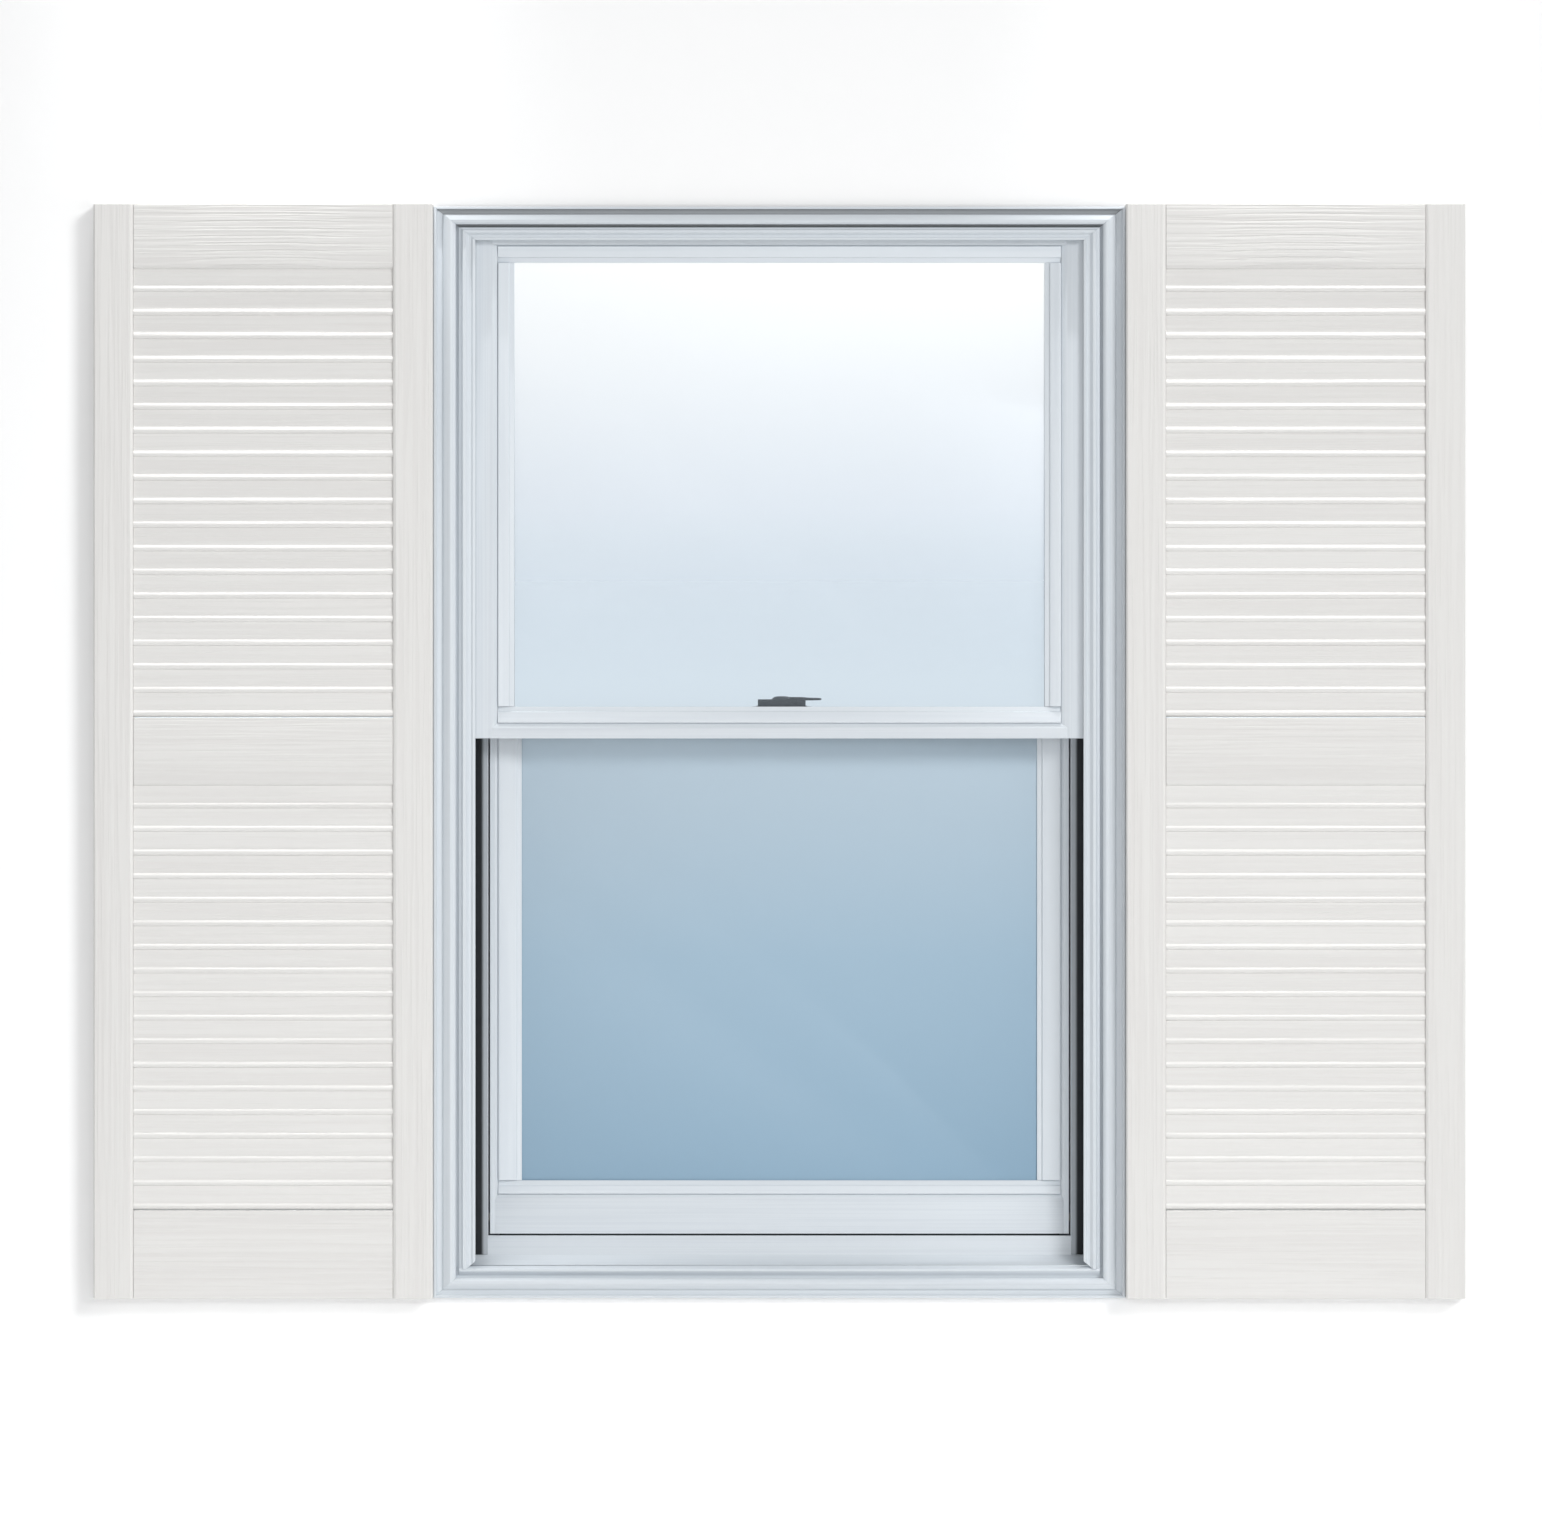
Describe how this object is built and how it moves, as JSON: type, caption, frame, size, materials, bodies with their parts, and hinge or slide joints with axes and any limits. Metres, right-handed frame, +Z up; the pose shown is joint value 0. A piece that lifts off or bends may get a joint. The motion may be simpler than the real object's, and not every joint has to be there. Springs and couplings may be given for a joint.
{
  "type": "louvred shutters with window frame",
  "caption": "Pair of louvred shutters on either side of the double-hung window they dress, with sliding sashes and a turning sash lock.",
  "frame": {"origin": "on the underside of the sill, in the wall's plane, midway between the shutters", "axes": "+X to the right as seen from outside, +Y inwards through the wall, +Z up"},
  "size_m": [1.4886, 0.1, 1.188],
  "materials": {
    "shutter_white": "warm white with an embossed wood grain",
    "window_vinyl": "cool white, satin",
    "bead_vinyl": "cool white, satin",
    "track_liner": "dark grey, dull",
    "glass": "clear float glass, slightly blue",
    "spacer_bar": "dull",
    "seal_rubber": "matt black",
    "rod_steel": "zinc plated",
    "shoe_nylon": "natural white",
    "lock_dark": "dark, semi-gloss"
  },
  "bodies": {
    "frame": {"left_outer_stile": "shutter_white", "left_inner_stile": "shutter_white", "left_top_rail": "shutter_white", "left_mid_rail": "shutter_white", "left_bottom_rail": "shutter_white", "left_upper_louvres": "shutter_white", "left_lower_louvres": "shutter_white", "right_outer_stile": "shutter_white", "right_inner_stile": "shutter_white", "right_top_rail": "shutter_white", "right_mid_rail": "shutter_white", "right_bottom_rail": "shutter_white", "right_upper_louvres": "shutter_white", "right_lower_louvres": "shutter_white", "casing_top": "window_vinyl", "casing_bottom": "window_vinyl", "casing_left": "window_vinyl", "casing_right": "window_vinyl", "frame_head": "window_vinyl", "frame_sill": "window_vinyl", "frame_jamb_left": "window_vinyl", "frame_jamb_right": "window_vinyl", "track_liner_left": "track_liner", "track_liner_right": "track_liner", "upper_balance_tubes": "window_vinyl", "lower_balance_tubes": "window_vinyl"},
    "upper_sash": {"upper_sash_left_stile": "window_vinyl", "upper_sash_right_stile": "window_vinyl", "upper_sash_top_rail": "window_vinyl", "upper_sash_meeting_rail": "window_vinyl", "upper_sash_glazing_beads": "bead_vinyl", "upper_sash_outer_pane": "glass", "upper_sash_inner_pane": "glass", "upper_sash_spacer": "spacer_bar", "upper_sash_setting_blocks": "seal_rubber", "upper_sash_weatherstrip": "seal_rubber", "upper_balance_rods": "rod_steel", "upper_balance_shoes": "shoe_nylon", "keeper": "lock_dark", "keeper_screws": "rod_steel"},
    "lower_sash": {"lower_sash_left_stile": "window_vinyl", "lower_sash_right_stile": "window_vinyl", "lower_sash_meeting_rail": "window_vinyl", "lower_sash_bottom_rail": "window_vinyl", "lower_sash_glazing_beads": "bead_vinyl", "lower_sash_outer_pane": "glass", "lower_sash_inner_pane": "glass", "lower_sash_spacer": "spacer_bar", "lower_sash_setting_blocks": "seal_rubber", "lower_sash_weatherstrip": "seal_rubber", "lower_balance_rods": "rod_steel", "lower_balance_shoes": "shoe_nylon", "lock_base": "lock_dark", "lock_screws": "rod_steel"},
    "lock_cam": {"lock_cam": "lock_dark", "lock_lever": "lock_dark"}
  },
  "joints": [
    {"name": "upper_sash_slide", "type": "slide", "parent": "frame", "child": "upper_sash", "axis": [0, 0, -1], "range_m": [0, 0.48]},
    {"name": "lower_sash_slide", "type": "slide", "parent": "frame", "child": "lower_sash", "axis": [0, 0, 1], "range_m": [0, 0.48]},
    {"name": "sash_lock_turn", "type": "hinge", "parent": "lower_sash", "child": "lock_cam", "pos_m": [0.0025, 0.046, 0.6433], "axis": [0, 0, 1], "range_deg": [0, 180]}
  ]
}
